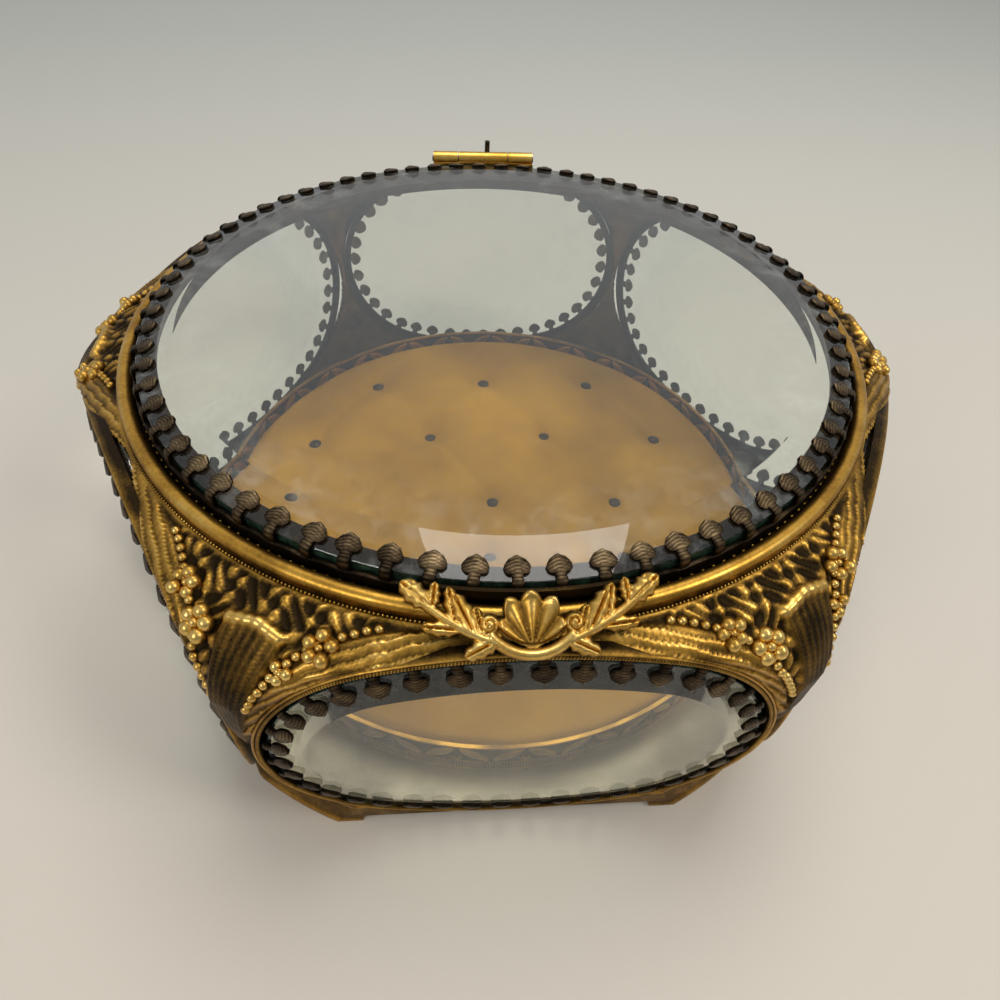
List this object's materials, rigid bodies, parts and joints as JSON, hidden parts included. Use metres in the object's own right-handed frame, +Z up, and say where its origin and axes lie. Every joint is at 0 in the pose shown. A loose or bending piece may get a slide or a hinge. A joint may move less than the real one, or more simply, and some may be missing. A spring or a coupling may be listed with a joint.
{
  "type": "jewelry casket",
  "caption": "Six-sided glazed jewelry casket with oval side windows, cast corner mounts, a tufted velvet cushion and a round hinged bevelled glass lid with a shell lift.",
  "frame": {"origin": "middle of the surface that the six feet stand on", "axes": "+Z up; +X to the right across two corners; -Y to the front, where the shell is; the hinge is at +Y"},
  "size_m": [0.2114, 0.1877, 0.0858],
  "materials": {
    "gilt_casting": "gilt, with dark patina in the recesses",
    "gilt_trim": "gilt, satin",
    "prong_strip": "dark bronze patina",
    "clear_glass": "clear, bevelled",
    "dark_steel": "darkened",
    "board": "plain board",
    "velvet": "short velvet pile"
  },
  "bodies": {
    "base": {"corner_right": "gilt_casting", "corner_back_right": "gilt_casting", "corner_back_left": "gilt_casting", "corner_left": "gilt_casting", "corner_front_left": "gilt_casting", "corner_front_right": "gilt_casting", "window_frame_front": "gilt_trim", "window_frame_front_right": "gilt_trim", "window_frame_back_right": "gilt_trim", "window_frame_back": "gilt_trim", "window_frame_back_left": "gilt_trim", "window_frame_front_left": "gilt_trim", "base_top_ring": "gilt_trim", "tray_band": "gilt_trim", "window_bezel_front": "prong_strip", "window_bezel_front_right": "prong_strip", "window_bezel_back_right": "prong_strip", "window_bezel_back": "prong_strip", "window_bezel_back_left": "prong_strip", "window_bezel_front_left": "prong_strip", "window_pane_front": "clear_glass", "window_pane_front_right": "clear_glass", "window_pane_back_right": "clear_glass", "window_pane_back": "clear_glass", "window_pane_back_left": "clear_glass", "window_pane_front_left": "clear_glass", "hinge_base_leaf": "gilt_trim", "hinge_pin": "dark_steel", "hinge_stop_pin": "dark_steel", "base_plate": "gilt_trim", "cushion_board": "board", "cushion": "velvet", "cushion_buttons": "prong_strip"},
    "lid": {"lid_ring": "gilt_trim", "lid_bezel": "prong_strip", "lid_glass": "clear_glass", "shell_ornament": "gilt_casting", "hinge_lid_leaf": "gilt_trim"}
  },
  "joints": [
    {"name": "lid_hinge", "type": "hinge", "parent": "base", "child": "lid", "pos_m": [0, 0.08605, 0.0814], "axis": [-1, 0, 0], "range_deg": [0, 100]}
  ]
}
